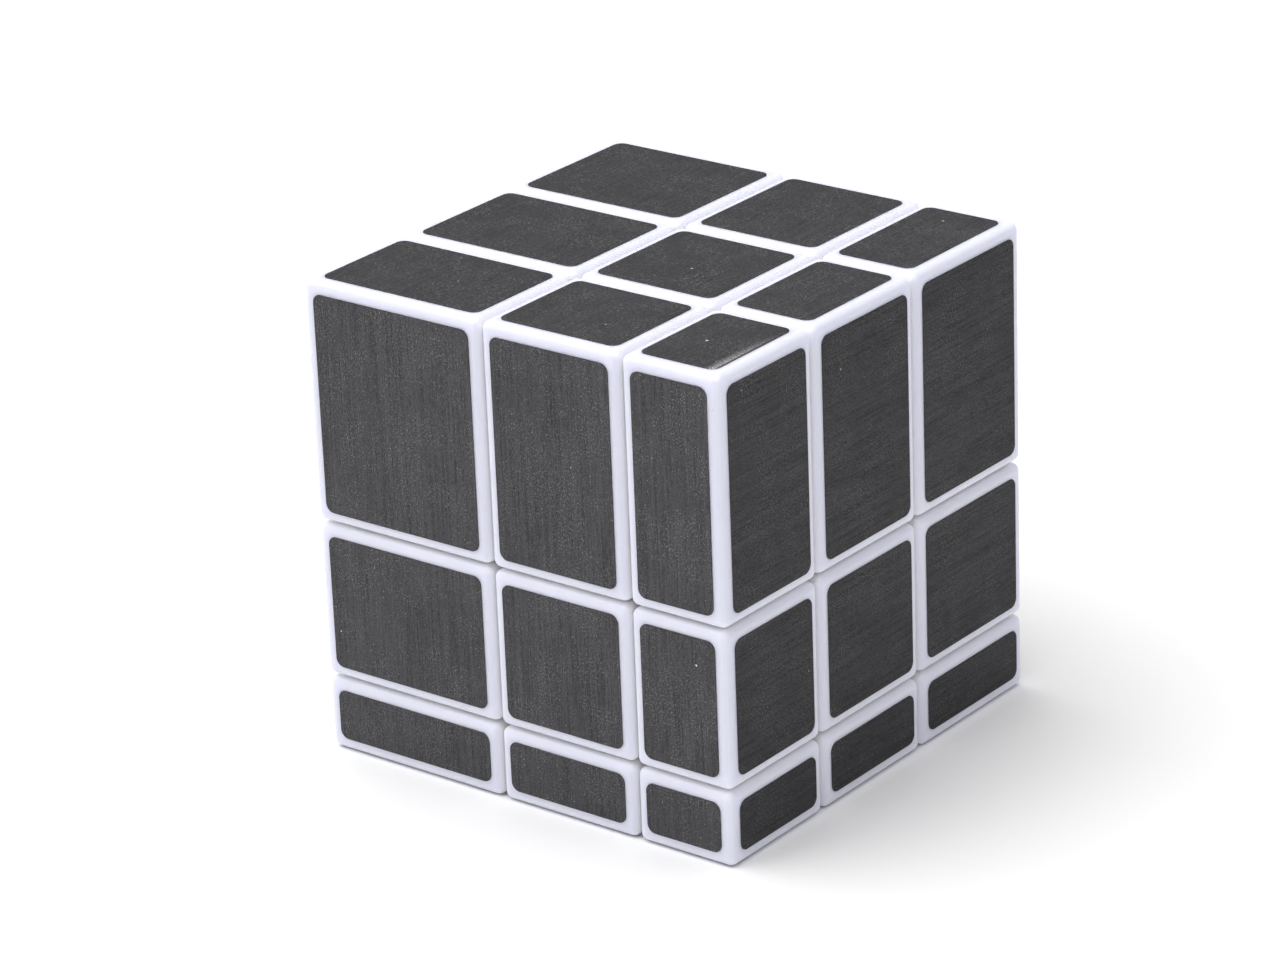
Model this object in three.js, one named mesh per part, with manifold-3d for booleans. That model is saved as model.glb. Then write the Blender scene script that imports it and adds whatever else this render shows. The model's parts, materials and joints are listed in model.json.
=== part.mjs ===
// A mirror block cube: a 3 x 3 x 3 turning puzzle whose outer layers all differ in thickness.
// Six centres turn on the arms of a core, each held by a sprung screw. The twelve edges and eight
// corners have feet that hook under their neighbours inside a ball around the core.
// Millimetres, +Z up. The origin is the middle of the cube's underside.
import * as THREE from "three";
import { RoundedBoxGeometry } from "three/addons/geometries/RoundedBoxGeometry.js";
import { mergeVertices } from "three/addons/utils/BufferGeometryUtils.js";
import Module from "manifold-3d";

const wasm = await Module();
wasm.setup();

// Layers: the middle one is the same on every axis, and opposite outer ones add up to the rest.
const MIDDLE_LAYER = 19;
const OUTER_LAYER = { left: 25, right: 13, front: 17, back: 21, bottom: 9, top: 29 };
const CUBE_SIDE = OUTER_LAYER.left + MIDDLE_LAYER + OUTER_LAYER.right;

// Blocks.
const BLOCK_GAP = 0.3;
const BLOCK_ROUNDING = 1;
const BLOCK_WALL = 1.8;
const VENT_RADIUS = 1;

// The hooks: feet reach this far under a neighbour, between two balls around the core.
const FOOT_REACH = 3.5;
const FOOT_CLEARANCE = 0.3;
const FOOT_INNER_RADIUS = 10.5;
const FOOT_OUTER_RADIUS = 18.2;
const ROOT_SIZE = 4;

// How finely round shapes are divided.
const BALL_DETAIL = 4;
const HOLLOW_BALL_DETAIL = 2;
const HOLLOW_FACET_DEPTH = 0.6; // how far the coarse ball's facets lie inside its radius
const WIDE_SIDES = 20;
const BORE_SIDES = 16;
const HOLE_SIDES = 12;
const SMALL_SIDES = 10;
const COIL_STEPS = 7;
const WIRE_SEGMENTS = 3;

// Core.
const HUB_SIDE = 11;
const HUB_ROUNDING = 1.5;
const ARM_RADIUS = 3.9;
const ARM_TIP = 9.2;
const ARM_HOLE_RADIUS = 1.55;
const ARM_HOLE_BOTTOM = 3.6;

// Centres, measured outwards from the core's middle along the arm.
const STALK_RADIUS = 5.6;
const STALK_END = 9.5;
const LEDGE_TOP = 10.7;
const LEDGE_HOLE_RADIUS = 1.6;
const WELL_RADIUS = 3.9;
const BASE_TOP = MIDDLE_LAYER / 2 + OUTER_LAYER.bottom;
const RIM_HEIGHT = 1.2;
const RIM_WIDTH = 1.3;
const CAP_FIT = 0.3;
const SPIGOT_RADIUS = 3.5;
const SPIGOT_BORE = 2.2;
const SPIGOT_END = 17.2;
const BUTTON_RADIUS = 4.3;
const BUTTON_THICKNESS = 1;
const BUTTON_SEAT_GAP = 0.1;

// Screw, spring and washer of each centre.
const SHANK_RADIUS = 1.25;
const SHANK_TIP = 4.2;
const POINT_LENGTH = 1.2;
const SPRING_BOTTOM = 10.8;
const SPRING_TOP = 14.5;
const SPRING_RADIUS = 2.6;
const SPRING_WIRE = 0.6;
const SPRING_TURNS = 4;
const WASHER_BOTTOM = 14.6;
const WASHER_THICKNESS = 0.5;
const WASHER_RADIUS = 3.3;
const HEAD_BOTTOM = 15.2;
const HEAD_TOP = 16.9;
const HEAD_RADIUS = 3;
const HEAD_CROWN_RADIUS = 2.4;
const HEAD_CROWN_DROP = 0.25;
const SLOT_WIDTH = 0.8;
const SLOT_LENGTH = 3.4;
const SLOT_DEPTH = 0.9;

const CUT = MIDDLE_LAYER / 2;
const FOOT_PLANE = CUT - FOOT_REACH;
const POCKET_RADIUS = FOOT_OUTER_RADIUS + FOOT_CLEARANCE;
const BLOCK_LOW = CUT + BLOCK_GAP / 2;
const BLOCK_HALF = CUT - BLOCK_GAP / 2;
const WALL_FLOOR = BLOCK_HALF - BLOCK_WALL;
const HOLLOW_LIMIT_RADIUS = POCKET_RADIUS + BLOCK_WALL + HOLLOW_FACET_DEPTH;
const FOOT_HALF = FOOT_PLANE - FOOT_CLEARANCE;
const RIM_HALF = WALL_FLOOR - CAP_FIT;
const FAR = CUBE_SIDE;
const CUT_OVERLAP = 0.5;

const UP = new THREE.Vector3(0, 0, 1);
const FACE_OF_SIGN = [
  { "-1": "left", 1: "right" },
  { "-1": "front", 1: "back" },
  { "-1": "bottom", 1: "top" },
];

const plastic = { color: 0xe6e7ee, roughness: 0.35, metalness: 0 };
const corePlastic = { color: 0xd9dade, roughness: 0.5, metalness: 0 };
const steel = { color: 0xa7a9ad, roughness: 0.3, metalness: 1 };
const springSteel = { color: 0x86888d, roughness: 0.35, metalness: 1 };

// --- Solids -----------------------------------------------------------------------------------

function solid(geometry) {
  geometry.deleteAttribute("normal");
  geometry.deleteAttribute("uv");
  const merged = mergeVertices(geometry, 1e-4);
  const vertProperties = merged.attributes.position.array;
  const triVerts = new Uint32Array(merged.index.array);
  return new wasm.Manifold(new wasm.Mesh({ numProp: 3, vertProperties, triVerts }));
}

function geometryOf(manifold) {
  const { vertProperties, triVerts } = manifold.getMesh();
  const geometry = new THREE.BufferGeometry();
  geometry.setAttribute("position", new THREE.BufferAttribute(vertProperties, 3));
  geometry.setIndex(new THREE.BufferAttribute(triVerts, 1));
  return geometry;
}

const middle = ([low, high]) => (low + high) / 2;
const length = ([low, high]) => high - low;

// A box given by its range on each axis, with rounded edges when it has a radius.
function box(ranges, radius = 0) {
  const sides = ranges.map(length);
  const geometry = radius
    ? new RoundedBoxGeometry(...sides, 1, radius)
    : new THREE.BoxGeometry(...sides);
  return solid(geometry.translate(...ranges.map(middle)));
}

const ball = (radius, detail = BALL_DETAIL) =>
  solid(new THREE.IcosahedronGeometry(radius, detail));

// A round bar along +Z.
function bar(radius, low, high, sides) {
  const geometry = new THREE.CylinderGeometry(radius, radius, high - low, sides);
  return solid(geometry.rotateX(Math.PI / 2).translate(0, 0, (low + high) / 2));
}

// A solid built along +Z, turned to point along a face's direction.
function pointing(manifold, direction) {
  const turn = new THREE.Quaternion().setFromUnitVectors(UP, new THREE.Vector3(...direction));
  return manifold.transform([...new THREE.Matrix4().makeRotationFromQuaternion(turn).elements]);
}

function largest(manifold) {
  return manifold.decompose().reduce((a, b) => (a.volume() > b.volume() ? a : b));
}

const pocketBall = ball(POCKET_RADIUS);
const footShell = ball(FOOT_OUTER_RADIUS).subtract(ball(FOOT_INNER_RADIUS));
const hollowLimit = ball(HOLLOW_LIMIT_RADIUS, HOLLOW_BALL_DETAIL);

// --- Cells: a piece sits at a sign of -1, 0 or 1 on each axis -----------------------------------

const SIGNS = [-1, 0, 1];
const cells = SIGNS.flatMap((x) => SIGNS.flatMap((y) => SIGNS.map((z) => [x, y, z])));
const cellsOn = (layers) => cells.filter((cell) => cell.filter((sign) => sign).length === layers);
const centreCells = cellsOn(1);

// The range on one axis, reaching outwards from `low` to `high` on the side that `sign` gives.
const outward = (sign, low, high) => (sign > 0 ? [low, high] : [-high, -low]);

const outerPlane = (axis, sign) => CUT + OUTER_LAYER[FACE_OF_SIGN[axis][sign]];

function blockRanges(cell) {
  return cell.map((sign, axis) =>
    sign ? outward(sign, BLOCK_LOW, outerPlane(axis, sign)) : [-BLOCK_HALF, BLOCK_HALF],
  );
}

function footRanges(cell) {
  return cell.map((sign) => (sign ? outward(sign, FOOT_PLANE, FAR) : [-FOOT_HALF, FOOT_HALF]));
}

// A square-cornered piece of the block behind the foot, so that they meet over a full section.
function rootRanges(cell) {
  const outer = BLOCK_LOW + ROOT_SIZE;
  return cell.map((sign) => (sign ? outward(sign, BLOCK_LOW, outer) : [-FOOT_HALF, FOOT_HALF]));
}

// The moulded hollow inside a block, clear of the ball that the feet turn in.
function hollow(ranges) {
  const inner = ranges.map(([low, high]) => [low + BLOCK_WALL, high - BLOCK_WALL]);
  return largest(box(inner).subtract(hollowLimit));
}

// A small hole from the hollow to the block's inner face on one axis, covered by the next block.
function vent(ranges, axis, sign) {
  const mouth = sign ? BLOCK_LOW : BLOCK_HALF;
  const inwards = sign ? 1 : -1;
  const ends = [mouth - inwards * CUT_OVERLAP, mouth + inwards * (BLOCK_WALL + CUT_OVERLAP)];
  const direction = [0, 0, 0];
  direction[axis] = sign || 1;
  const centre = ranges.map(middle);
  centre[axis] = 0;
  const hole = bar(VENT_RADIUS, Math.min(...ends), Math.max(...ends), SMALL_SIDES);
  return pointing(hole, direction).translate(centre);
}

function foot(cell) {
  return box(footRanges(cell)).intersect(footShell);
}

function cornerSolid(cell) {
  const ranges = blockRanges(cell);
  return box(ranges, BLOCK_ROUNDING)
    .add(box(rootRanges(cell)))
    .add(foot(cell))
    .subtract(hollow(ranges))
    .subtract(vent(ranges, 0, cell[0]));
}

function edgeSolid(cell) {
  const ranges = blockRanges(cell);
  const block = box(ranges, BLOCK_ROUNDING);
  const along = cell.indexOf(0);
  return block
    .subtract(pocketBall)
    .add(block.intersect(box(footRanges(cell))))
    .add(box(rootRanges(cell)))
    .add(foot(cell))
    .subtract(hollow(ranges))
    .subtract(vent(ranges, along, 0));
}

// --- Centres, built pointing up +Z --------------------------------------------------------------

const square = (half, low, high) => [
  [-half, half],
  [-half, half],
  [low, high],
];

function centreBlock(outer) {
  return box(square(BLOCK_HALF, BLOCK_LOW, outer), BLOCK_ROUNDING);
}

// The base turns on the arm. On the thinnest layer it is the whole centre, with a button over
// the screw. On the others it carries a rim for a cap.
function centreSolid(outer) {
  const capped = outer > BASE_TOP;
  let base = centreBlock(outer)
    .intersect(box(square(FAR, 0, BASE_TOP)))
    .subtract(pocketBall)
    .add(bar(STALK_RADIUS, STALK_END, BASE_TOP - CUT_OVERLAP, WIDE_SIDES));
  if (capped) {
    const rim = box(square(RIM_HALF, BASE_TOP - CUT_OVERLAP, BASE_TOP + RIM_HEIGHT));
    base = base.add(rim.subtract(box(square(RIM_HALF - RIM_WIDTH, BASE_TOP, FAR))));
  } else {
    const seat = BASE_TOP - BUTTON_THICKNESS - BUTTON_SEAT_GAP;
    base = base.subtract(bar(BUTTON_RADIUS + CAP_FIT, seat, FAR, WIDE_SIDES));
  }
  return base
    .subtract(bar(WELL_RADIUS, LEDGE_TOP, FAR, BORE_SIDES))
    .subtract(bar(LEDGE_HOLE_RADIUS, 0, LEDGE_TOP + CUT_OVERLAP, HOLE_SIDES));
}

function capSolid(outer) {
  const roof = outer - BLOCK_WALL;
  if (outer <= BASE_TOP) {
    return bar(BUTTON_RADIUS, BASE_TOP - BUTTON_THICKNESS, BASE_TOP, WIDE_SIDES).add(
      bar(SPIGOT_RADIUS, SPIGOT_END, BASE_TOP - CUT_OVERLAP, BORE_SIDES),
    );
  }
  const low = BASE_TOP + CAP_FIT;
  return centreBlock(outer)
    .intersect(box(square(FAR, low, FAR)))
    .subtract(box(square(WALL_FLOOR, low - CUT_OVERLAP, roof)))
    .add(bar(SPIGOT_RADIUS, SPIGOT_END, roof + CUT_OVERLAP, BORE_SIDES))
    .subtract(bar(SPIGOT_BORE, 0, roof, HOLE_SIDES));
}

function screwSolid() {
  const profile = [
    [0, SHANK_TIP],
    [SHANK_RADIUS, SHANK_TIP + POINT_LENGTH],
    [SHANK_RADIUS, HEAD_BOTTOM],
    [HEAD_RADIUS, HEAD_BOTTOM],
    [HEAD_RADIUS, (HEAD_BOTTOM + HEAD_TOP) / 2],
    [HEAD_CROWN_RADIUS, HEAD_TOP - HEAD_CROWN_DROP],
    [0, HEAD_TOP],
  ].map(([radius, height]) => new THREE.Vector2(radius, height));
  const turned = solid(new THREE.LatheGeometry(profile, SMALL_SIDES).rotateX(Math.PI / 2));
  const long = [-SLOT_LENGTH / 2, SLOT_LENGTH / 2];
  const narrow = [-SLOT_WIDTH / 2, SLOT_WIDTH / 2];
  const deep = [HEAD_TOP - SLOT_DEPTH, FAR];
  return turned.subtract(box([long, narrow, deep])).subtract(box([narrow, long, deep]));
}

const washerSolid = () =>
  bar(WASHER_RADIUS, WASHER_BOTTOM, WASHER_BOTTOM + WASHER_THICKNESS, HOLE_SIDES).subtract(
    bar(LEDGE_HOLE_RADIUS, 0, FAR, HOLE_SIDES),
  );

class Coil extends THREE.Curve {
  getPoint(t) {
    const turn = t * SPRING_TURNS * 2 * Math.PI;
    const low = SPRING_BOTTOM + SPRING_WIRE / 2;
    const rise = SPRING_TOP - SPRING_BOTTOM - SPRING_WIRE;
    return new THREE.Vector3(
      SPRING_RADIUS * Math.cos(turn),
      SPRING_RADIUS * Math.sin(turn),
      low + t * rise,
    );
  }
}

function springSolid() {
  const section = new THREE.Shape();
  section.absarc(0, 0, SPRING_WIRE / 2, 0, 2 * Math.PI);
  const geometry = new THREE.ExtrudeGeometry(section, {
    extrudePath: new Coil(),
    steps: SPRING_TURNS * COIL_STEPS,
    curveSegments: WIRE_SEGMENTS,
    bevelEnabled: false,
  });
  return solid(geometry);
}

function coreSolid() {
  const range = [-HUB_SIDE / 2, HUB_SIDE / 2];
  const arm = bar(ARM_RADIUS, 0, ARM_TIP, BORE_SIDES);
  const hole = bar(ARM_HOLE_RADIUS, ARM_HOLE_BOTTOM, FAR, SMALL_SIDES);
  const hub = box([range, range, range], HUB_ROUNDING);
  const spider = centreCells.reduce((body, cell) => body.add(pointing(arm, cell)), hub);
  return centreCells.reduce((body, cell) => body.subtract(pointing(hole, cell)), spider);
}

// --- Assembly -----------------------------------------------------------------------------------

function mesh(name, manifold, finish) {
  const part = new THREE.Mesh(geometryOf(manifold), new THREE.MeshStandardMaterial(finish));
  part.name = name;
  return part;
}

// The faces that a cell lies on, from the vertical axis to the sideways one.
function cellName(kind, cell) {
  const faces = [2, 1, 0].filter((axis) => cell[axis]);
  return [kind, ...faces.map((axis) => FACE_OF_SIGN[axis][cell[axis]])].join("_");
}

function centreGroup(cell) {
  const group = new THREE.Group();
  const axis = cell.findIndex((sign) => sign);
  const outer = outerPlane(axis, cell[axis]);
  group.quaternion.setFromUnitVectors(UP, new THREE.Vector3(...cell));
  group.add(mesh(cellName("centre", cell), centreSolid(outer), plastic));
  group.add(mesh(cellName("cap", cell), capSolid(outer), plastic));
  group.add(mesh(cellName("screw", cell), screwSolid(), steel));
  group.add(mesh(cellName("spring", cell), springSolid(), springSteel));
  group.add(mesh(cellName("washer", cell), washerSolid(), steel));
  return group;
}

const cube = new THREE.Group();
cube.position.set(
  OUTER_LAYER.left + CUT - CUBE_SIDE / 2,
  OUTER_LAYER.front + CUT - CUBE_SIDE / 2,
  OUTER_LAYER.bottom + CUT,
);
cube.add(mesh("core", coreSolid(), corePlastic));

for (const cell of centreCells) cube.add(centreGroup(cell));
for (const cell of cellsOn(2)) cube.add(mesh(cellName("edge", cell), edgeSolid(cell), plastic));
for (const cell of cellsOn(3)) cube.add(mesh(cellName("corner", cell), cornerSolid(cell), plastic));

const part = new THREE.Group();
part.add(cube);

export default part;
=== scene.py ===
import json
import math

import bmesh
import bpy
from mathutils import Matrix, Vector

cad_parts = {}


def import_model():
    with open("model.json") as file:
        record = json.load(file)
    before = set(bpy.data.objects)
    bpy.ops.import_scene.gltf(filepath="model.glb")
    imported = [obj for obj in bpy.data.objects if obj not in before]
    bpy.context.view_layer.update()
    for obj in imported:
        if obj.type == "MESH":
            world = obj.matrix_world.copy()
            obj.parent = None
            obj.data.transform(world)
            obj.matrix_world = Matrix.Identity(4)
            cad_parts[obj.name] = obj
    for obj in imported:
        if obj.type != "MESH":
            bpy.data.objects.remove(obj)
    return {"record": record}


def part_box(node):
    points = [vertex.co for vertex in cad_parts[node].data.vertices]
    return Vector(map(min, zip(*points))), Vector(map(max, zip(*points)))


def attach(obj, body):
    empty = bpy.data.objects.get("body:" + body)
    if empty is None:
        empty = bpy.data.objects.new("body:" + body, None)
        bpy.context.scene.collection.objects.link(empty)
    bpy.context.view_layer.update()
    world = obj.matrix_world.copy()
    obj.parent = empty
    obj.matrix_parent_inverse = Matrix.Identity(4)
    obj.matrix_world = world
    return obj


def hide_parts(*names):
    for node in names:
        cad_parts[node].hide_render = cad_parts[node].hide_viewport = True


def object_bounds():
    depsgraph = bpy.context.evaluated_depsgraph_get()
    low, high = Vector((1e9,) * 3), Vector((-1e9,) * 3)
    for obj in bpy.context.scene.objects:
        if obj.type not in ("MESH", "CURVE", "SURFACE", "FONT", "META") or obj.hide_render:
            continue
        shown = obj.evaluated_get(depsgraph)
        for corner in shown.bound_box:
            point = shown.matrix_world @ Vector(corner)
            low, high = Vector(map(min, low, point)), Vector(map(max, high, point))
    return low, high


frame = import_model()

MM = 0.001
cad_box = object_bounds()

# --- Sizes from the frame -------------------------------------------------------------------------

AXES = (0, 1, 2)
SIGNS = (-1, 0, 1)
FACE_OF_SIGN = ({-1: "left", 1: "right"}, {-1: "front", 1: "back"}, {-1: "bottom", 1: "top"})
KINDS = {1: "centre", 2: "edge", 3: "corner"}

core_low, core_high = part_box("core")
CORE_MIDDLE = (core_low + core_high) / 2
edge_low, edge_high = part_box("edge_top_front")
BLOCK_HALF = (edge_high.x - edge_low.x) / 2 / MM
FOOT_PLANE = (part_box("corner_top_back_right")[0].x - CORE_MIDDLE.x) / MM

# --- Sizes of the fine shapes, in millimetres -----------------------------------------------------

BLOCK_GAP = 0.3
BLOCK_ROUNDING = 0.95
ROUNDING_STEPS = 6

FOOT_CLEARANCE = 0.3
FOOT_INNER_RADIUS = 10.5
FOOT_OUTER_RADIUS = 18.2
POCKET_RADIUS = FOOT_OUTER_RADIUS + FOOT_CLEARANCE
ROOT_SIZE = 4
VENT_RADIUS = 1
VENT_DEPTH = 1.8

STALK_RADIUS = 5.6
STALK_END = 9.5
LEDGE_TOP = 10.7
LEDGE_HOLE_RADIUS = 1.6
WELL_RADIUS = 3.9
BASE_TOP = 18.5
RIM_HEIGHT = 1.2
RIM_WIDTH = 1.3
CAP_FIT = 0.3
CAP_WALL = 1.8
SPIGOT_RADIUS = 3.5
SPIGOT_BORE = 2.2
SPIGOT_END = 17.2
BUTTON_RADIUS = 4.3
BUTTON_THICKNESS = 1
BUTTON_SEAT_GAP = 0.1

HUB_HALF = 5.5
HUB_ROUNDING = 1.5
ARM_RADIUS = 3.9
ARM_TIP = 9.2
ARM_CHAMFER = 0.3
ARM_HOLE_RADIUS = 1.55
ARM_HOLE_BOTTOM = 3.6

SCREW_TIP = 4.2
POINT_LENGTH = 1.2
POINT_RADIUS = 0.3
THREAD_ROOT = 1.1
THREAD_CREST = 1.42
THREAD_PITCH = 0.6
THREAD_END = 9
THREAD_STEPS = 8
THREAD_RUNOUT_STEPS = 2
SHANK_RADIUS = 1.25
HEAD_BOTTOM = 15.2
HEAD_SHOULDER = 15.9
HEAD_TOP = 16.9
HEAD_RADIUS = 3
CROWN_STEPS = 8
SLOT_WIDTH = 0.8
SLOT_LENGTH = 3.4
SLOT_DEPTH = 0.9

SPRING_BOTTOM = 10.8
SPRING_TOP = 14.5
SPRING_RADIUS = 2.6
WIRE_RADIUS = 0.3
WIRE_SIDES = 14
SPRING_TURNS = 4
COIL_STEPS = 36
WASHER_BOTTOM = 14.6
WASHER_THICKNESS = 0.5
WASHER_RADIUS = 3.3
WASHER_CHAMFER = 0.12

FOIL_MARGIN = 1.48
FOIL_CORNER = 1.05
FOIL_CORNER_STEPS = 8
FOIL_THICKNESS = 0.09
FOIL_SINK = 0.01
FOIL_LIP = 0.04
FOIL_LIP_BULGE = 0.3
FOIL_BORDER = 0.5

FAR = 60
CUT_OVERLAP = 0.5
SLIVER_SIZE = 0.001
BALL_SUBDIVISIONS = 5
ROUND_SIDES = 64
SHARP_ANGLE = math.radians(32)

BLOCK_LOW = BLOCK_HALF + BLOCK_GAP
CUT = BLOCK_HALF + BLOCK_GAP / 2
FOOT_HALF = FOOT_PLANE - FOOT_CLEARANCE
WALL_FLOOR = BLOCK_HALF - CAP_WALL
RIM_HALF = WALL_FLOOR - CAP_FIT

# --- Solids ---------------------------------------------------------------------------------------


def new_object(name, bm):
    mesh = bpy.data.meshes.new(name)
    bm.to_mesh(mesh)
    bm.free()
    obj = bpy.data.objects.new(name, mesh)
    bpy.context.scene.collection.objects.link(obj)
    return obj


def copy_of(obj):
    copy = bpy.data.objects.new(obj.name, obj.data.copy())
    bpy.context.scene.collection.objects.link(copy)
    return copy


def remove(obj):
    mesh = obj.data
    bpy.data.objects.remove(obj)
    bpy.data.meshes.remove(mesh)


def box(ranges, rounding=0):
    """A box given by its range on each axis, with round edges when it has a rounding."""
    bm = bmesh.new()
    bmesh.ops.create_cube(bm, size=1)
    size = [high - low for low, high in ranges]
    centre = [(low + high) / 2 for low, high in ranges]
    bmesh.ops.scale(bm, vec=size, verts=bm.verts)
    bmesh.ops.translate(bm, vec=centre, verts=bm.verts)
    if rounding:
        bmesh.ops.bevel(
            bm,
            geom=bm.edges[:],
            offset=rounding,
            segments=ROUNDING_STEPS,
            profile=0.5,
            affect="EDGES",
        )
    return new_object("box", bm)


def ball(radius):
    bm = bmesh.new()
    bmesh.ops.create_icosphere(bm, subdivisions=BALL_SUBDIVISIONS, radius=radius)
    return new_object("ball", bm)


def bar(radius, low, high):
    """A round bar along +Z, from low to high."""
    bm = bmesh.new()
    bmesh.ops.create_cone(
        bm, cap_ends=True, segments=ROUND_SIDES, radius1=radius, radius2=radius, depth=high - low
    )
    bmesh.ops.translate(bm, vec=(0, 0, (low + high) / 2), verts=bm.verts)
    return new_object("bar", bm)


def loft(loops):
    """A closed solid through a row of loops, each with the same number of points."""
    bm = bmesh.new()
    rings = [[bm.verts.new(point) for point in loop] for loop in loops]
    for lower, upper in zip(rings, rings[1:]):
        for i, vertex in enumerate(lower):
            bm.faces.new((lower[i - 1], vertex, upper[i], upper[i - 1]))
    bm.faces.new(rings[-1])
    bm.faces.new(reversed(rings[0]))
    bmesh.ops.recalc_face_normals(bm, faces=bm.faces)
    return new_object("loft", bm)


def circle(radius, height, sides=ROUND_SIDES):
    angles = [2 * math.pi * side / sides for side in range(sides)]
    return [(radius * math.cos(angle), radius * math.sin(angle), height) for angle in angles]


def lathe(profile):
    """A solid turned about +Z from pairs of a radius and a height."""
    return loft([circle(radius, height) for radius, height in profile])


def turned(obj, direction):
    """Turns a solid that was built along +Z to point along a direction."""
    turn = Vector((0, 0, 1)).rotation_difference(Vector(direction))
    obj.data.transform(turn.to_matrix().to_4x4())
    return obj


def combine(target, tool, operation):
    """Joins the tool to the target or cuts it away, and uses the tool up."""
    modifier = target.modifiers.new("combine", "BOOLEAN")
    modifier.operation = operation
    modifier.solver = "MANIFOLD"
    modifier.object = tool
    graph = bpy.context.evaluated_depsgraph_get()
    mesh = bpy.data.meshes.new_from_object(target.evaluated_get(graph))
    target.modifiers.clear()
    old = target.data
    target.data = mesh
    bpy.data.meshes.remove(old)
    remove(tool)
    return target


def clean(obj):
    """Triangulates a solid, and merges the slivers left where the joined solids share a plane."""
    bm = bmesh.new()
    bm.from_mesh(obj.data)
    bmesh.ops.remove_doubles(bm, verts=bm.verts, dist=SLIVER_SIZE)
    bmesh.ops.triangulate(bm, faces=bm.faces)
    bmesh.ops.dissolve_degenerate(bm, edges=bm.edges, dist=SLIVER_SIZE)
    bm.to_mesh(obj.data)
    bm.free()


def add(target, tool):
    return combine(target, tool, "UNION")


def cut(target, tool):
    return combine(target, tool, "DIFFERENCE")


def common(target, tool):
    return combine(target, tool, "INTERSECT")


# --- Cells: a block sits at a sign of -1, 0 or 1 on each axis -------------------------------------

CELLS = [(x, y, z) for x in SIGNS for y in SIGNS for z in SIGNS if x or y or z]


def kind_of(cell):
    return KINDS[sum(map(abs, cell))]


def cell_name(kind, cell):
    faces = [FACE_OF_SIGN[axis][cell[axis]] for axis in reversed(AXES) if cell[axis]]
    return "_".join([kind, *faces])


def outward(sign, low, high):
    """The range on one axis, reaching outwards from low to high on the side that the sign gives."""
    return (low, high) if sign > 0 else (-high, -low)


def outer_plane(axis, sign):
    corner = cad_box[1] if sign > 0 else cad_box[0]
    return round(abs(corner[axis] - CORE_MIDDLE[axis]) / MM, 3)


def ranges_of(cell, half, low):
    """A cell's ranges: half wide each way in a middle layer, from low outwards in an outer one."""
    return [
        outward(sign, low, outer_plane(axis, sign)) if sign else (-half, half)
        for axis, sign in enumerate(cell)
    ]


def block_ranges(cell):
    return ranges_of(cell, BLOCK_HALF, BLOCK_LOW)


def foot_ranges(cell):
    return [outward(sign, FOOT_PLANE, FAR) if sign else (-FOOT_HALF, FOOT_HALF) for sign in cell]


def root_ranges(cell):
    top = BLOCK_LOW + ROOT_SIZE
    return [outward(sign, BLOCK_LOW, top) if sign else (-FOOT_HALF, FOOT_HALF) for sign in cell]


# --- Blocks ---------------------------------------------------------------------------------------

pocket_ball = ball(POCKET_RADIUS)
foot_shell = cut(ball(FOOT_OUTER_RADIUS), ball(FOOT_INNER_RADIUS))


def foot(cell):
    return common(box(foot_ranges(cell)), copy_of(foot_shell))


def vent(ranges, axis, sign):
    """The small hole in a block's inner face, on one axis."""
    mouth = BLOCK_LOW if sign else BLOCK_HALF
    inwards = 1 if sign else -1
    ends = sorted((mouth - inwards * CUT_OVERLAP, mouth + inwards * VENT_DEPTH))
    direction = [0, 0, 0]
    direction[axis] = sign or 1
    hole = turned(bar(VENT_RADIUS, *ends), direction)
    centre = [(low + high) / 2 for low, high in ranges]
    centre[axis] = 0
    hole.data.transform(Matrix.Translation(centre))
    return hole


def corner_block(cell):
    ranges = block_ranges(cell)
    block = box(ranges, BLOCK_ROUNDING)
    add(block, box(root_ranges(cell)))
    add(block, foot(cell))
    return cut(block, vent(ranges, 0, cell[0]))


def edge_block(cell):
    ranges = block_ranges(cell)
    block = box(ranges, BLOCK_ROUNDING)
    root = common(copy_of(block), box(foot_ranges(cell)))
    cut(block, copy_of(pocket_ball))
    add(block, root)
    add(block, box(root_ranges(cell)))
    add(block, foot(cell))
    return cut(block, vent(ranges, cell.index(0), 0))


def square(half, low, high):
    return [(-half, half), (-half, half), (low, high)]


def centre_base(outer):
    """Turns on the arm. It has a rim for a cap, or a seat for a button on the thinnest layer."""
    base = box(square(BLOCK_HALF, BLOCK_LOW, outer), BLOCK_ROUNDING)
    if outer > BASE_TOP:
        common(base, box(square(FAR, 0, BASE_TOP)))
    cut(base, copy_of(pocket_ball))
    add(base, bar(STALK_RADIUS, STALK_END, BASE_TOP - CUT_OVERLAP))
    if outer > BASE_TOP:
        rim = box(square(RIM_HALF, BASE_TOP - CUT_OVERLAP, BASE_TOP + RIM_HEIGHT))
        add(base, cut(rim, box(square(RIM_HALF - RIM_WIDTH, BASE_TOP, FAR))))
    else:
        seat = BASE_TOP - BUTTON_THICKNESS - BUTTON_SEAT_GAP
        cut(base, bar(BUTTON_RADIUS + CAP_FIT, seat, FAR))
    cut(base, bar(WELL_RADIUS, LEDGE_TOP, FAR))
    return cut(base, bar(LEDGE_HOLE_RADIUS, 0, LEDGE_TOP + CUT_OVERLAP))


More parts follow.
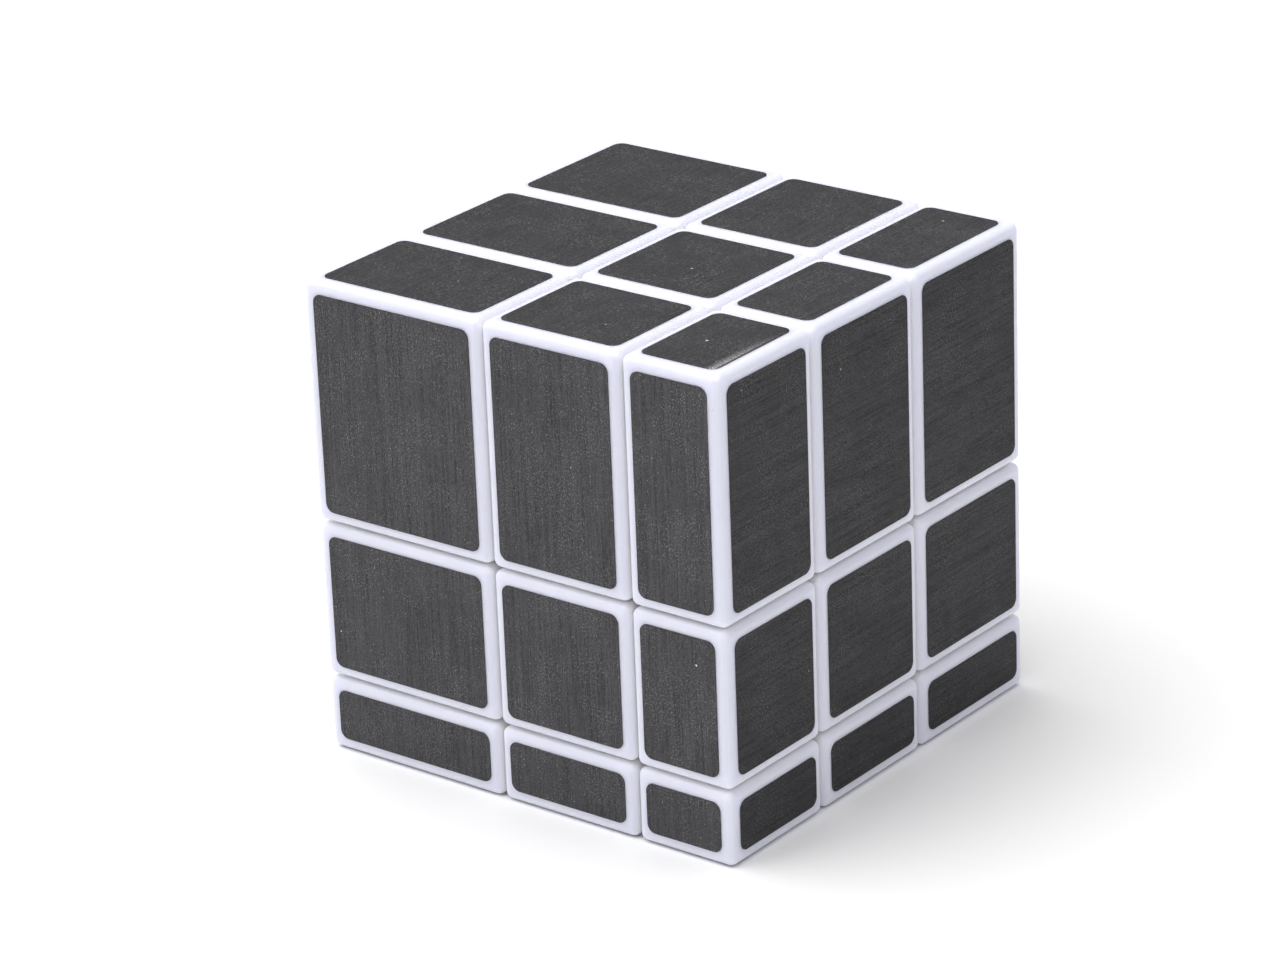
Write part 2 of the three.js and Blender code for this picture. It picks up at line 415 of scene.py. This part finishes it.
def cap(outer):
    """The hollow cover over the screw, or the round button on the thinnest layer."""
    if outer <= BASE_TOP:
        button = bar(BUTTON_RADIUS, BASE_TOP - BUTTON_THICKNESS, BASE_TOP)
        return add(button, bar(SPIGOT_RADIUS, SPIGOT_END, BASE_TOP - CUT_OVERLAP))
    low = BASE_TOP + CAP_FIT
    roof = outer - CAP_WALL
    cover = box(square(BLOCK_HALF, BLOCK_LOW, outer), BLOCK_ROUNDING)
    common(cover, box(square(FAR, low, FAR)))
    cut(cover, box(square(WALL_FLOOR, low - CUT_OVERLAP, roof)))
    add(cover, bar(SPIGOT_RADIUS, SPIGOT_END, roof + CUT_OVERLAP))
    return cut(cover, bar(SPIGOT_BORE, 0, roof))


# --- Mechanism, each piece along +Z from the core's middle ----------------------------------------


def core_solid(directions):
    hub = box([(-HUB_HALF, HUB_HALF)] * 3, HUB_ROUNDING)
    shoulder = ARM_TIP - ARM_CHAMFER
    profile = ((ARM_RADIUS, 0), (ARM_RADIUS, shoulder), (ARM_RADIUS - ARM_CHAMFER, ARM_TIP))
    for direction in directions:
        add(hub, turned(lathe(profile), direction))
    for direction in directions:
        cut(hub, turned(bar(ARM_HOLE_RADIUS, ARM_HOLE_BOTTOM, FAR), direction))
    return hub


def threaded_loop(height):
    """A section through the screw's thread: its radius rises and falls once round the shank."""
    point = min(1, (height - SCREW_TIP) / POINT_LENGTH)
    loop = []
    for x, y, _ in circle(1, height):
        turn = height / THREAD_PITCH - math.atan2(y, x) / (2 * math.pi)
        ridge = 1 - abs(2 * (turn % 1) - 1)
        full = THREAD_ROOT + (THREAD_CREST - THREAD_ROOT) * ridge
        radius = POINT_RADIUS + (full - POINT_RADIUS) * point
        loop.append((radius * x, radius * y, height))
    return loop


def screw_solid():
    """A pointed screw with a helical thread, a crowned head and a cross slot."""
    steps = round((THREAD_END - SCREW_TIP) / THREAD_PITCH * THREAD_STEPS)
    rise = THREAD_PITCH / THREAD_STEPS
    loops = [threaded_loop(SCREW_TIP + rise * step) for step in range(steps + 1)]
    for height in (THREAD_END + rise * THREAD_RUNOUT_STEPS, HEAD_BOTTOM + CUT_OVERLAP):
        loops.append(circle(SHANK_RADIUS, height))
    screw = loft(loops)
    crown = []
    for step in range(CROWN_STEPS):
        angle = math.pi / 2 * step / CROWN_STEPS
        height = HEAD_SHOULDER + (HEAD_TOP - HEAD_SHOULDER) * math.sin(angle)
        crown.append((HEAD_RADIUS * math.cos(angle), height))
    add(screw, lathe([(HEAD_RADIUS, HEAD_BOTTOM), *crown]))
    long, narrow = (-SLOT_LENGTH / 2, SLOT_LENGTH / 2), (-SLOT_WIDTH / 2, SLOT_WIDTH / 2)
    deep = (HEAD_TOP - SLOT_DEPTH, FAR)
    return cut(cut(screw, box((long, narrow, deep))), box((narrow, long, deep)))


def spring_solid():
    low = SPRING_BOTTOM + WIRE_RADIUS
    rise = SPRING_TOP - SPRING_BOTTOM - 2 * WIRE_RADIUS
    steps = SPRING_TURNS * COIL_STEPS
    loops = []
    for step in range(steps + 1):
        angle = 2 * math.pi * step / COIL_STEPS
        height = low + rise * step / steps
        loop = []
        for outwards, upwards, _ in circle(WIRE_RADIUS, 0, WIRE_SIDES):
            radius = SPRING_RADIUS + outwards
            loop.append((radius * math.cos(angle), radius * math.sin(angle), height + upwards))
        loops.append(loop)
    return loft(loops)


def washer_solid():
    top = WASHER_BOTTOM + WASHER_THICKNESS
    inner = WASHER_RADIUS - WASHER_CHAMFER
    profile = (
        (inner, WASHER_BOTTOM),
        (WASHER_RADIUS, WASHER_BOTTOM + WASHER_CHAMFER),
        (WASHER_RADIUS, top - WASHER_CHAMFER),
        (inner, top),
    )
    return cut(lathe(profile), bar(LEDGE_HOLE_RADIUS, 0, FAR))


# --- Foils ----------------------------------------------------------------------------------------


def round_rectangle(ranges, inset, height):
    """Points anticlockwise round a rectangle with round corners, drawn in by an inset."""
    (left, right), (low, high) = ranges
    radius = FOIL_CORNER - inset
    corners = ((right, high, -1, -1), (left, high, 1, -1), (left, low, 1, 1), (right, low, -1, 1))
    points = []
    for quarter, (x, y, towards_x, towards_y) in enumerate(corners):
        centre_x = x + towards_x * FOIL_CORNER
        centre_y = y + towards_y * FOIL_CORNER
        for step in range(FOIL_CORNER_STEPS + 1):
            angle = math.pi / 2 * (quarter + step / FOIL_CORNER_STEPS)
            across = centre_x + radius * math.cos(angle)
            along = centre_y + radius * math.sin(angle)
            points.append((across, along, height))
    return points


def foil_sheet(ranges):
    """A thin foil lying on z = 0, with a soft lip round its edge."""
    top = FOIL_THICKNESS
    rings = (
        (0, -FOIL_SINK),
        (0, top - FOIL_LIP),
        (FOIL_LIP * FOIL_LIP_BULGE, top - FOIL_LIP * FOIL_LIP_BULGE),
        (FOIL_LIP, top),
        (FOIL_BORDER, top),
    )
    return loft([round_rectangle(ranges, inset, height) for inset, height in rings])


def foil(cell, axis):
    """The foil on one outer face of a block."""
    sign = cell[axis]
    across, along = (axis + 1) % 3, (axis + 2) % 3
    ranges = ranges_of(cell, CUT, CUT)
    inner = [(low + FOIL_MARGIN, high - FOIL_MARGIN) for low, high in ranges]
    sheet = foil_sheet((inner[across], inner[along]))
    columns = [[0, 0, 0] for _ in AXES]
    columns[0][across] = 1
    columns[1][along] = 1
    columns[2][axis] = sign
    turn = Matrix(columns).transposed().to_4x4()
    offset = [0, 0, 0]
    offset[axis] = sign * outer_plane(axis, sign)
    sheet.data.transform(Matrix.Translation(offset) @ turn)
    if sign < 0:
        sheet.data.flip_normals()
    return sheet


# --- Materials ------------------------------------------------------------------------------------

# How far in from the outer faces the painted light in the seams starts and is full, and how far
# light spreads in the plastic, in millimetres.
PAINTED_SEAM_LIGHT_START = 0.15
PAINTED_SEAM_LIGHT_FULL = 1.1
LIGHT_REACH = 1.5

SPOT_CORE = 0.4
FOIL_ROUGHNESS = 0.42
FOIL_METALLIC = 0.75
NICK_COLOUR = (0.9, 0.9, 0.9, 1)

# How many times each texture repeats in a metre. Pairs are along and across the brushing.
PLASTIC_CLOUDS = 160
PLASTIC_SATIN = 420
PLASTIC_SCUFFS = (90, 700, 2600)
PLASTIC_RIPPLES = 330
PLASTIC_GRAIN = 3200
# The patches vary the painted light in the seams.
PAINTED_SEAM_LIGHT_PATCHES = 500
DUST = 900
FOIL_THREADS = (110, 4600)
FOIL_STRANDS = (1600, 5200)
FOIL_SPECKLE = (4600, 6400)
FOIL_SPECKLE_PATCHES = 260
# Painted glints in the foils' colour, and the clusters they gather in.
FOIL_PAINTED_GLINTS = 2600
FOIL_PAINTED_GLINT_CLUSTERS = 330
FOIL_CLOUDS = 120
FOIL_WAVES = 90
WORN_GRAINS = 4800
CORE_CLOUDS = 300
CORE_SATIN = 900
CORE_GRAIN = 1800
STEEL_LINES_ALONG = 400
STEEL_SPOTS = 1500
FLOOR_CLOUDS = 6

# The worn strip on the near top foil, in metres: inside its right edge, and worst at the front.
WORN_FOIL = "foil_top_of_corner_top_front_right"
WORN_COLOUR = (0.64, 0.6, 0.61, 1)
worn_low, worn_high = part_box("corner_top_front_right")
WORN_EDGE = worn_high.x - FOIL_MARGIN * MM
WORN_WIDTH = 2.1 * MM
WORN_FADE = 2.2
WORN_RIM_START = 0.32 * MM
WORN_RIM_END = 0.08 * MM
WORN_BACK = CORE_MIDDLE.y - (CUT + FOIL_MARGIN) * MM
WORN_FRONT = worn_low.y + 4 * MM


class Finish:
    """A procedural material, with short ways to make its nodes."""

    def __init__(self, name, colour, roughness, metallic=0.0):
        self.material = bpy.data.materials.new(name)
        self.material.use_nodes = True
        self.nodes = self.material.node_tree.nodes
        self.links = self.material.node_tree.links
        self.shader = self.nodes["Principled BSDF"]
        self.set(self.shader, {"Base Color": (*colour, 1), "Roughness": roughness})
        self.set(self.shader, {"Metallic": metallic})
        self.place = self.nodes.new("ShaderNodeTexCoord").outputs["Object"]
        self.bump_output = None

    def feed(self, socket, value):
        """Links a value that comes from a node, and sets a plain one."""
        if isinstance(value, bpy.types.NodeSocket):
            self.links.new(value, socket)
        else:
            socket.default_value = value

    def set(self, node, values):
        for name, value in values.items():
            self.feed(node.inputs[name], value)
        return node

    def stretched(self, per_metre):
        """The place on the piece, scaled by a number for each axis."""
        node = self.nodes.new("ShaderNodeMapping")
        self.set(node, {"Vector": self.place, "Scale": per_metre})
        return node.outputs["Vector"]

    def noise(self, per_metre, detail=3.0, rough=0.55, vector=None):
        node = self.nodes.new("ShaderNodeTexNoise")
        values = {"Vector": vector or self.place, "Scale": per_metre}
        self.set(node, {**values, "Detail": detail, "Roughness": rough})
        return node.outputs["Fac"]

    def cells(self, per_metre):
        """Distance to the nearest of many scattered points, and a random colour for each point."""
        node = self.nodes.new("ShaderNodeTexVoronoi")
        self.set(node, {"Vector": self.place, "Scale": per_metre})
        return node.outputs["Distance"], node.outputs["Color"]

    def map(self, value, low, high, to_low=0.0, to_high=1.0):
        node = self.nodes.new("ShaderNodeMapRange")
        values = {"Value": value, "From Min": low, "From Max": high}
        self.set(node, {**values, "To Min": to_low, "To Max": to_high})
        return node.outputs["Result"]

    def maths(self, operation, a, b):
        node = self.nodes.new("ShaderNodeMath")
        node.operation = operation
        for socket, value in zip(node.inputs, (a, b)):
            self.feed(socket, value)
        return node.outputs["Value"]

    def product(self, a, b):
        return self.maths("MULTIPLY", a, b)

    def distance_to(self, point):
        node = self.nodes.new("ShaderNodeVectorMath")
        node.operation = "DISTANCE"
        for socket, value in zip(node.inputs, (self.place, point)):
            self.feed(socket, value)
        return node.outputs["Value"]

    def channel(self, colour):
        node = self.set(self.nodes.new("ShaderNodeSeparateColor"), {"Color": colour})
        return node.outputs["Red"]

    def along(self, axis):
        node = self.set(self.nodes.new("ShaderNodeSeparateXYZ"), {"Vector": self.place})
        return node.outputs[axis]

    def mix(self, share, a, b):
        node = self.nodes.new("ShaderNodeMix")
        node.data_type = "RGBA"
        sockets = (node.inputs[0], node.inputs[6], node.inputs[7])
        for socket, value in zip(sockets, (share, a, b)):
            self.feed(socket, value)
        return node.outputs[2]

    def bump(self, height, depth_mm, strength=1.0):
        """Adds a relief of a given depth to what is there."""
        node = self.nodes.new("ShaderNodeBump")
        self.set(node, {"Height": height, "Distance": depth_mm * MM, "Strength": strength})
        if self.bump_output:
            self.links.new(self.bump_output, node.inputs["Normal"])
        self.bump_output = node.outputs["Normal"]
        self.set(self.shader, {"Normal": self.bump_output})


def grey(value, cool=0.0):
    """A grey, leaning towards violet when it has a cool share."""
    return (value, value * (1 - cool), value * (1 + cool), 1)


def scatter(finish, per_metre, reach, share):
    """A mask of small spots: reach is their size against the spacing, share how many there are."""
    distance, colour = finish.cells(per_metre)
    spot = finish.map(distance, reach * SPOT_CORE, reach, 1, 0)
    chosen = finish.maths("GREATER_THAN", finish.channel(colour), 1 - share)
    return finish.product(spot, chosen)


def depth_inside(finish):
    """How far a place lies inside the cube's six outer planes, in metres."""
    depth = None
    for axis in AXES:
        position = finish.along(axis)
        for gap in (
            finish.maths("SUBTRACT", position, cad_box[0][axis]),
            finish.maths("SUBTRACT", cad_box[1][axis], position),
        ):
            depth = gap if depth is None else finish.maths("MINIMUM", depth, gap)
    return depth


def painted_seam_light(finish):
    """A mask of painted light on what lies inside the cube's outer faces: the seams and the hidden
    faces.
    """
    rising = finish.map(depth_inside(finish), PAINTED_SEAM_LIGHT_START * MM, PAINTED_SEAM_LIGHT_FULL * MM)
    patches = finish.map(finish.noise(PAINTED_SEAM_LIGHT_PATCHES, 4), 0.3, 0.7, 0.8, 1)
    return finish.product(rising, patches)


def plastic(name, light, dark, painted_seam_light_colour, roughness):
    """Moulded plastic: faint clouds, painted light in the seams and on the hidden faces, dust and
    orange peel.
    """
    finish = Finish(name, light[:3], roughness)
    clouds = finish.map(finish.noise(PLASTIC_CLOUDS, 4), 0.35, 0.65)
    colour = finish.mix(clouds, dark, light)
    # Painted light: a paler colour in the seams and on the hidden faces stands in for light coming
    # through the plastic.
    colour = finish.mix(painted_seam_light(finish), colour, painted_seam_light_colour)
    dust = scatter(finish, DUST, reach=0.12, share=0.05)
    colour = finish.mix(finish.product(dust, 0.3), colour, grey(0.42))
    scuffs = finish.map(finish.noise(1, 5, 0.7, finish.stretched(PLASTIC_SCUFFS)), 0.58, 0.7)
    satin = finish.noise(PLASTIC_SATIN, 3)
    satin = finish.map(satin, 0.3, 0.7, roughness - 0.06, roughness + 0.07)
    worn_satin = finish.maths("ADD", satin, finish.product(scuffs, 0.08))
    finish.set(finish.shader, {"Base Color": colour, "Roughness": worn_satin})
    finish.set(finish.shader, {"Subsurface Weight": 1.0, "Subsurface Radius": (1, 1, 1)})
    finish.set(finish.shader, {"Subsurface Scale": LIGHT_REACH * MM})
    finish.bump(finish.noise(PLASTIC_RIPPLES, 2), depth_mm=0.02, strength=0.5)
    finish.bump(finish.noise(PLASTIC_GRAIN, 3), depth_mm=0.004, strength=0.6)
    return finish.material


def drawn_out(finish, axis, scales):
    """The place on a foil, scaled by one number along the brushing and another across it."""
    along, across = scales
    per_metre = [across] * 3
    per_metre[axis] = along
    return finish.stretched(per_metre)


def foil_finish(name, brushed, face_axis, tone_with_painted_shade, worn=False):
    """Charcoal foil: fine brushed lines, painted glints, faint clouds and a few bright nicks. Its
    tone holds painted shade: it is set darker on the faces that lie in more shade.
    """
    # The tone holds painted shade: the foils on each pair of faces get their own tone.
    finish = Finish(name, (tone_with_painted_shade, tone_with_painted_shade, tone_with_painted_shade), FOIL_ROUGHNESS, FOIL_METALLIC)
    finish.set(finish.shader, {"Specular IOR Level": 0.25, "Specular Tint": grey(0.4)})
    threads = finish.noise(1, 2, 0.5, drawn_out(finish, brushed, FOIL_THREADS))
    strands = finish.noise(1, 3, 0.6, drawn_out(finish, brushed, FOIL_STRANDS))
    halves = [finish.product(lines, 0.5) for lines in (threads, strands)]
    lines = finish.map(finish.maths("ADD", *halves), 0.34, 0.66)
    colour = finish.mix(lines, grey(tone_with_painted_shade * 0.6, 0.03), grey(tone_with_painted_shade * 1.2, 0.03))
    clouds = finish.map(finish.noise(FOIL_CLOUDS, 3), 0.3, 0.7)
    colour = finish.mix(finish.product(clouds, 0.15), colour, grey(tone_with_painted_shade * 1.5, 0.03))
    speckle = finish.noise(1, 1, 0.5, drawn_out(finish, brushed, FOIL_SPECKLE))
    speckle = finish.map(speckle, 0.54, 0.7)
    patches = finish.map(finish.noise(FOIL_SPECKLE_PATCHES, 3), 0.4, 0.6, 0.35, 1)
    speckle = finish.product(speckle, patches)
    colour = finish.mix(finish.product(speckle, 0.65), colour, grey(tone_with_painted_shade * 3.5))
    # Painted glints: tiny bright spots in the colour, gathered in clusters.
    clusters = finish.map(finish.noise(FOIL_PAINTED_GLINT_CLUSTERS, 2), 0.42, 0.62, 0.1, 0.8)
    painted_glints = finish.product(scatter(finish, FOIL_PAINTED_GLINTS, reach=0.2, share=0.3), clusters)
    colour = finish.mix(painted_glints, colour, grey(tone_with_painted_shade * 6))
    colour = finish.mix(nicks(finish, face_axis), colour, NICK_COLOUR)
    if worn:
        colour = finish.mix(wear(finish), colour, WORN_COLOUR)
    finish.set(finish.shader, {"Base Color": colour})
    finish.set(finish.shader, {"Roughness": finish.map(lines, 0, 1, 0.5, 0.36)})
    finish.bump(lines, depth_mm=0.004, strength=0.5)
    finish.bump(finish.noise(FOIL_WAVES, 2), depth_mm=0.05, strength=0.25)
    return finish.material


# A few bright nicks on each face: how far each is from the cube's lowest corner along the face's
# two axes, and its radius, in millimetres.
NICKS = {
    "front": ((53, 23.3, 0.18), (2.5, 15, 0.15), (37, 42.6, 0.13)),
    "right": ((4, 54.3, 0.13), (21.8, 50.8, 0.14), (14.6, 18, 0.13)),
    "top": ((49.8, 52.3, 0.2), (35, 25, 0.2), (49.7, 8, 0.24), (15.5, 8.3, 0.15), (37.6, 6.2, 0.16)),
    "back": ((20, 38, 0.15),),
    "left": ((33, 44, 0.15), (12, 20, 0.12)),
    "bottom": ((30, 30, 0.14),),
}


def nick_places(axis):
    """Where each nick is on the two faces across an axis, and its radius, in metres."""
    others = [other for other in AXES if other != axis]
    for sign, corner in ((-1, cad_box[0]), (1, cad_box[1])):
        for *distances, radius in NICKS[FACE_OF_SIGN[axis][sign]]:
            middle = corner.copy()
            for other, distance in zip(others, distances):
                middle[other] = cad_box[0][other] + distance * MM
            yield middle, radius * MM


def nicks(finish, axis):
    """A mask of the nicks on the two faces across an axis."""
    mask = None
    for middle, radius in nick_places(axis):
        spot = finish.map(finish.distance_to(middle), 0.5 * radius, radius, 1, 0)
        mask = spot if mask is None else finish.maths("MAXIMUM", mask, spot)
    return mask


def wear(finish):
    """The scuffed strip on the worn foil: how worn each place is, from 0 to 1."""
    across = finish.along(0)
    near = finish.maths("POWER", finish.map(across, WORN_EDGE - WORN_WIDTH, WORN_EDGE), WORN_FADE)
    rim = finish.map(across, WORN_EDGE - WORN_RIM_START, WORN_EDGE - WORN_RIM_END, 1, 0.15)
    forwards = finish.map(finish.along(1), WORN_BACK, WORN_FRONT)
    strip = finish.product(finish.product(near, rim), forwards)
    grains = finish.map(finish.noise(WORN_GRAINS, 3, 0.7), 0.38, 0.64, 0.1, 2)
    return finish.map(finish.product(strip, grains), 0.1, 0.8, 0, 0.9)


def core_plastic():
    """Matt moulded plastic, a little blotchy."""
    finish = Finish("core_plastic", (0.7, 0.7, 0.72), 0.55)
    colour = finish.mix(finish.noise(CORE_CLOUDS, 4), grey(0.64), grey(0.74))
    roughness = finish.map(finish.noise(CORE_SATIN, 3), 0.3, 0.7, 0.46, 0.62)
    finish.set(finish.shader, {"Base Color": colour, "Roughness": roughness})
    finish.bump(finish.noise(CORE_GRAIN, 4), depth_mm=0.015, strength=0.8)
    return finish.material


def steel(name, light, dark, roughness, rings_per_metre):
    """Zinc-plated or drawn steel: fine lines and darker spots."""
    finish = Finish(name, light[:3], roughness, metallic=1.0)
    scales = (rings_per_metre, rings_per_metre, STEEL_LINES_ALONG)
    lines = finish.noise(1, 4, 0.7, finish.stretched(scales))
    spots = finish.map(finish.noise(STEEL_SPOTS, 4), 0.5, 0.75)
    colour = finish.mix(finish.map(lines, 0.3, 0.7), dark, light)
    colour = finish.mix(finish.product(spots, 0.5), colour, dark)
    brushed = finish.map(lines, 0.3, 0.7, roughness - 0.08, roughness + 0.1)
    finish.set(finish.shader, {"Base Color": colour, "Roughness": brushed})
    finish.bump(lines, depth_mm=0.005, strength=0.7)
    return finish.material


# --- Assembly -------------------------------------------------------------------------------------

BODY_OF_NODE = {
    node: body for body, nodes in frame["record"]["behaviour"]["bodies"].items() for node in nodes
}


def smooth(obj):
    """Smooth shading that stays flat on flat faces and sharp where faces meet at an angle."""
    mesh = obj.data
    mesh.polygons.foreach_set("use_smooth", [True] * len(mesh.polygons))
    mesh.set_sharp_from_angle(angle=SHARP_ANGLE)
    modifier = obj.modifiers.new("flat faces", "WEIGHTED_NORMAL")
    modifier.weight = 100
    modifier.keep_sharp = True


def place(obj, name, finish, body, slot):
    """Puts a finished solid in the row frame, in metres, and makes it ride on its body."""
    obj.data.transform(Matrix.Translation(CORE_MIDDLE) @ Matrix.Scale(MM, 4))
    obj.name = name
    obj.data.name = name
    obj.data.materials.clear()
    obj.data.materials.append(finish)
    smooth(obj)
    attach(obj, body)
    return obj


def stand_in(node, solid, finish, slot):
    """A fine piece that stands for its CAD node."""
    clean(solid)
    piece = place(solid, "fine_" + node, finish, BODY_OF_NODE[node], slot)
    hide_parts(node)


def build_blocks(finish):
    for cell in CELLS:
        node = cell_name(kind_of(cell), cell)
        if kind_of(cell) == "corner":
            stand_in(node, corner_block(cell), finish, "block_plastic")
        elif kind_of(cell) == "edge":
            stand_in(node, edge_block(cell), finish, "block_plastic")
        else:
            axis = next(axis for axis in AXES if cell[axis])
            outer = outer_plane(axis, cell[axis])
            stand_in(node, turned(centre_base(outer), cell), finish, "block_plastic")
            stand_in(cell_name("cap", cell), turned(cap(outer), cell), finish, "block_plastic")


def build_mechanism():
    faces = [cell for cell in CELLS if kind_of(cell) == "centre"]
    stand_in("core", core_solid(faces), core_plastic(), "core_plastic")
    screw_steel = steel("screw_steel", grey(0.62), grey(0.42), 0.3, rings_per_metre=2600)
    spring_steel = steel("spring_steel", grey(0.42), grey(0.25), 0.34, rings_per_metre=3800)
    washer_steel = steel("washer_steel", grey(0.66), grey(0.46), 0.28, rings_per_metre=3000)
    kinds = {
        "screw": (screw_solid(), screw_steel, "screw_steel"),
        "spring": (spring_solid(), spring_steel, "spring_steel"),
        "washer": (washer_solid(), washer_steel, "screw_steel"),
    }
    for kind, (solid, finish, slot) in kinds.items():
        for cell in faces:
            stand_in(cell_name(kind, cell), turned(copy_of(solid), cell), finish, slot)
        remove(solid)


def build_foils(finishes):
    for cell in CELLS:
        node = cell_name(kind_of(cell), cell)
        for axis in AXES:
            if not cell[axis]:
                continue
            face = FACE_OF_SIGN[axis][cell[axis]]
            name = f"foil_{face}_of_{node}"
            finish = finishes.get(name, finishes[axis])
            place(foil(cell, axis), name, finish, BODY_OF_NODE[node], "foil")


white = plastic(
    "block_plastic",
    light=(0.765, 0.77, 0.91, 1),
    dark=(0.74, 0.745, 0.885, 1),
    # Painted light: the paler colour of the seams and the hidden faces.
    painted_seam_light_colour=(0.95, 0.94, 0.98, 1),
    roughness=0.34,
)
# Painted shade: one foil with its tone set per face, darkest on the left and right faces, lighter on
# the front and back, lightest on the top and bottom.
foils = {
    0: foil_finish("foil_x_painted_dark_side", brushed=1, face_axis=0, tone_with_painted_shade=0.053),
    1: foil_finish("foil_y_painted_mid_side", brushed=2, face_axis=1, tone_with_painted_shade=0.071),
    2: foil_finish("foil_z_painted_lit_top", brushed=1, face_axis=2, tone_with_painted_shade=0.088),
    WORN_FOIL: foil_finish("foil_worn_painted_lit_top", brushed=1, face_axis=2, tone_with_painted_shade=0.088, worn=True),
}

build_blocks(white)
build_foils(foils)
build_mechanism()
remove(pocket_ball)
remove(foot_shell)

# --- Floor, light and camera ----------------------------------------------------------------------

FLOOR_RADIUS = 3.0
FLOOR_SIDES = 96
ROOM_STRENGTH = 0.476


def floor():
    bm = bmesh.new()
    bmesh.ops.create_circle(bm, cap_ends=True, segments=FLOOR_SIDES, radius=FLOOR_RADIUS)
    obj = new_object("floor", bm)
    obj.location = (0, 0, cad_box[0].z - FOIL_THICKNESS * MM)
    finish = Finish("floor_paper", (0.86, 0.86, 0.86), 0.7)
    colour = finish.mix(finish.noise(FLOOR_CLOUDS, 3), grey(0.89), grey(0.91))
    finish.set(finish.shader, {"Base Color": colour})
    obj.data.materials.append(finish.material)


def softbox(name, where, size, power):
    """A square soft light that faces the cube."""
    lamp = bpy.data.lights.new(name, "AREA")
    lamp.shape = "SQUARE"
    lamp.size = size
    lamp.energy = power
    obj = bpy.data.objects.new(name, lamp)
    obj.location = where
    obj.rotation_mode = "QUATERNION"
    obj.rotation_quaternion = (-Vector(where)).to_track_quat("-Z", "Y")
    bpy.context.scene.collection.objects.link(obj)


def world(strength):
    room = bpy.data.worlds.new("room")
    room.use_nodes = True
    background = room.node_tree.nodes["Background"]
    background.inputs["Color"].default_value = (1, 1, 1, 1)
    background.inputs["Strength"].default_value = strength
    bpy.context.scene.world = room


AZIMUTH = math.radians(38.214)
ELEVATION = math.radians(22.399)
ROLL = math.radians(-2.262)
LENS = 137.24
DISTANCE = 0.55193
CLIP_START = 0.01
AIM_OFFSET = Vector((-2.46, -2.79, 1.2)) * MM


def camera():
    forward = Vector(
        (
            -math.sin(AZIMUTH) * math.cos(ELEVATION),
            math.cos(AZIMUTH) * math.cos(ELEVATION),
            -math.sin(ELEVATION),
        )
    )
    level = Vector((math.cos(AZIMUTH), math.sin(AZIMUTH), 0))
    upright = level.cross(forward)
    right = level * math.cos(ROLL) + upright * math.sin(ROLL)
    up = upright * math.cos(ROLL) - level * math.sin(ROLL)
    aim = (cad_box[0] + cad_box[1]) / 2 + AIM_OFFSET
    obj = bpy.data.objects.new("camera", bpy.data.cameras.new("camera"))
    obj.data.lens = LENS
    obj.data.clip_start = CLIP_START
    turn = Matrix((right, up, -forward)).transposed().to_4x4()
    obj.matrix_world = Matrix.Translation(aim - forward * DISTANCE) @ turn
    bpy.context.scene.collection.objects.link(obj)
    bpy.context.scene.camera = obj


floor()
world(ROOM_STRENGTH)
softbox("key", where=(-0.45, -0.35, 1.3), size=1.3, power=15.4)
softbox("overhead", where=(0, 0, 1.5), size=2.2, power=12.7)
camera()
bpy.context.scene.view_settings.view_transform = "Standard"
